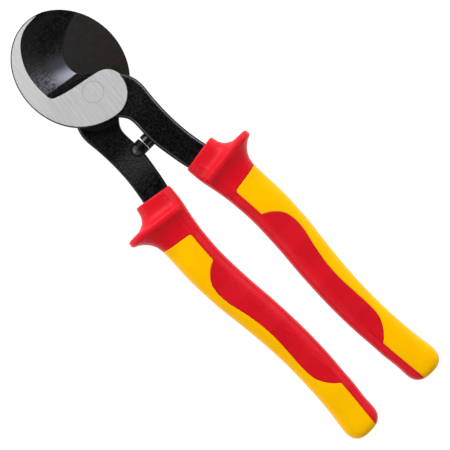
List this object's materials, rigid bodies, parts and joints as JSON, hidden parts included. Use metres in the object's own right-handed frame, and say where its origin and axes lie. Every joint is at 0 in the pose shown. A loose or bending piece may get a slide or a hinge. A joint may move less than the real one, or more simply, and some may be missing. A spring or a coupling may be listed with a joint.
{
  "type": "cable cutter",
  "caption": "Hand cable cutter with overlapping hooked jaws on a riveted pivot, closing stops and two-colour insulated grips with finger guards.",
  "frame": {"origin": "on the pivot axis, on the ground rear face of the head", "axes": "+Y from the handles to the tip of the cutting head, +Z out of the front face, +X to the right seen from the front"},
  "size_m": [0.0744, 0.2422, 0.0262],
  "materials": {
    "forged_steel": "forged, blackened and lacquered; jaw faces ground bright",
    "ground_steel": "ground flush with the jaw, fine straight brush marks",
    "inner_plastic": "plain moulded, hidden inside the grip",
    "yellow_plastic": "fine moulded texture",
    "red_plastic": "satin moulded",
    "soft_red": "soft-touch, matte"
  },
  "bodies": {
    "rear_handle": {"rear_lever": "forged_steel", "pivot_rivet": "ground_steel", "left_inner_sleeve": "inner_plastic", "left_yellow_body": "yellow_plastic", "left_guard_and_spine": "red_plastic", "left_front_pad": "soft_red", "left_rear_pad": "soft_red"},
    "front_handle": {"front_lever": "forged_steel", "right_inner_sleeve": "inner_plastic", "right_yellow_body": "yellow_plastic", "right_guard_and_spine": "red_plastic", "right_front_pad": "soft_red", "right_rear_pad": "soft_red"}
  },
  "joints": [
    {"name": "pivot", "type": "hinge", "parent": "rear_handle", "child": "front_handle", "pos_m": [0, 0, 0.007], "axis": [0, 0, 1], "range_deg": [0, 95]}
  ]
}
